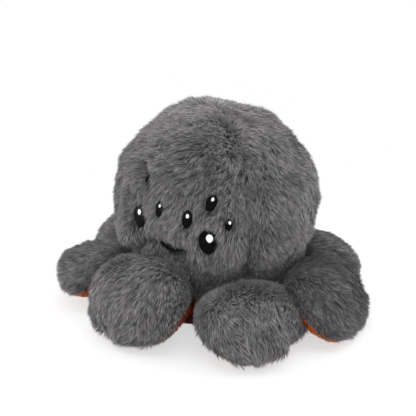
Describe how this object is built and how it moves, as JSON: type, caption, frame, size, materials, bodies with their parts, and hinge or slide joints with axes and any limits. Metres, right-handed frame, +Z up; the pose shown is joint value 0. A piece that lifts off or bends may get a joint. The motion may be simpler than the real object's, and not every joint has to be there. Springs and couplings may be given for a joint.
{
  "type": "reversible plush toy",
  "caption": "Round-headed furry plush with stubby lobed legs round its base and an orange lining in its hollow underside, made to be turned inside out.",
  "frame": {"origin": "on the floor, under the middle of the head", "axes": "+Z up, the face looks along -Y, +X to the viewer's right of the face"},
  "size_m": [0.3026, 0.3021, 0.1837],
  "materials": {
    "grey_fur": "long soft pile",
    "orange_plush": "short pile",
    "fibrefill": "loose polyester fibre",
    "black_thread": "satin stitch",
    "white_thread": "satin stitch"
  },
  "bodies": {
    "head": {"head_gore_front": "grey_fur", "head_gore_right": "grey_fur", "head_gore_back": "grey_fur", "head_gore_left": "grey_fur", "lining_gore_front": "orange_plush", "lining_gore_right": "orange_plush", "lining_gore_back": "orange_plush", "lining_gore_left": "orange_plush", "head_stuffing": "fibrefill", "mouth_band": "orange_plush", "smile": "black_thread", "eye_large_right": "black_thread", "eye_large_left": "black_thread", "eye_inner_right": "black_thread", "eye_inner_left": "black_thread", "eye_upper_right": "black_thread", "eye_upper_left": "black_thread", "eye_outer_right": "black_thread", "eye_outer_left": "black_thread", "highlight_large_right": "white_thread", "highlight_large_left": "white_thread", "highlight_inner_right": "white_thread", "highlight_inner_left": "white_thread", "highlight_upper_right": "white_thread", "highlight_upper_left": "white_thread", "highlight_outer_right": "white_thread", "highlight_outer_left": "white_thread"},
    "leg_1": {"leg_1_top": "grey_fur", "leg_1_sole": "orange_plush", "leg_1_stuffing": "fibrefill"},
    "leg_2": {"leg_2_top": "grey_fur", "leg_2_sole": "orange_plush", "leg_2_stuffing": "fibrefill"},
    "leg_3": {"leg_3_top": "grey_fur", "leg_3_sole": "orange_plush", "leg_3_stuffing": "fibrefill"},
    "leg_4": {"leg_4_top": "grey_fur", "leg_4_sole": "orange_plush", "leg_4_stuffing": "fibrefill"},
    "leg_5": {"leg_5_top": "grey_fur", "leg_5_sole": "orange_plush", "leg_5_stuffing": "fibrefill"},
    "leg_6": {"leg_6_top": "grey_fur", "leg_6_sole": "orange_plush", "leg_6_stuffing": "fibrefill"},
    "leg_7": {"leg_7_top": "grey_fur", "leg_7_sole": "orange_plush", "leg_7_stuffing": "fibrefill"},
    "leg_8": {"leg_8_top": "grey_fur", "leg_8_sole": "orange_plush", "leg_8_stuffing": "fibrefill"}
  },
  "joints": [
    {"name": "leg_1_lift", "type": "hinge", "parent": "head", "child": "leg_1", "pos_m": [-0.0158, -0.08962, 0.051], "axis": [-0.9848, 0.1736, 0], "range_deg": [0, 60], "stiffness_Nm_per_rad": 0.04},
    {"name": "leg_2_lift", "type": "hinge", "parent": "head", "child": "leg_2", "pos_m": [0.06006, -0.06836, 0.051], "axis": [-0.7513, -0.66, 0], "range_deg": [0, 60], "stiffness_Nm_per_rad": 0.04},
    {"name": "leg_3_lift", "type": "hinge", "parent": "head", "child": "leg_3", "pos_m": [0.09071, -0.0073, 0.051], "axis": [-0.0802, -0.9968, 0], "range_deg": [0, 60], "stiffness_Nm_per_rad": 0.04},
    {"name": "leg_4_lift", "type": "hinge", "parent": "head", "child": "leg_4", "pos_m": [0.07022, 0.05788, 0.051], "axis": [0.6361, -0.7716, 0], "range_deg": [0, 60], "stiffness_Nm_per_rad": 0.04},
    {"name": "leg_5_lift", "type": "hinge", "parent": "head", "child": "leg_5", "pos_m": [0.01014, 0.09043, 0.051], "axis": [0.9938, -0.1115, 0], "range_deg": [0, 60], "stiffness_Nm_per_rad": 0.04},
    {"name": "leg_6_lift", "type": "hinge", "parent": "head", "child": "leg_6", "pos_m": [-0.05565, 0.072, 0.051], "axis": [0.7912, 0.6115, 0], "range_deg": [0, 60], "stiffness_Nm_per_rad": 0.04},
    {"name": "leg_7_lift", "type": "hinge", "parent": "head", "child": "leg_7", "pos_m": [-0.09007, 0.01298, 0.051], "axis": [0.1426, 0.9898, 0], "range_deg": [0, 60], "stiffness_Nm_per_rad": 0.04},
    {"name": "leg_8_lift", "type": "hinge", "parent": "head", "child": "leg_8", "pos_m": [-0.07371, -0.05336, 0.051], "axis": [-0.5864, 0.81, 0], "range_deg": [0, 60], "stiffness_Nm_per_rad": 0.04}
  ]
}
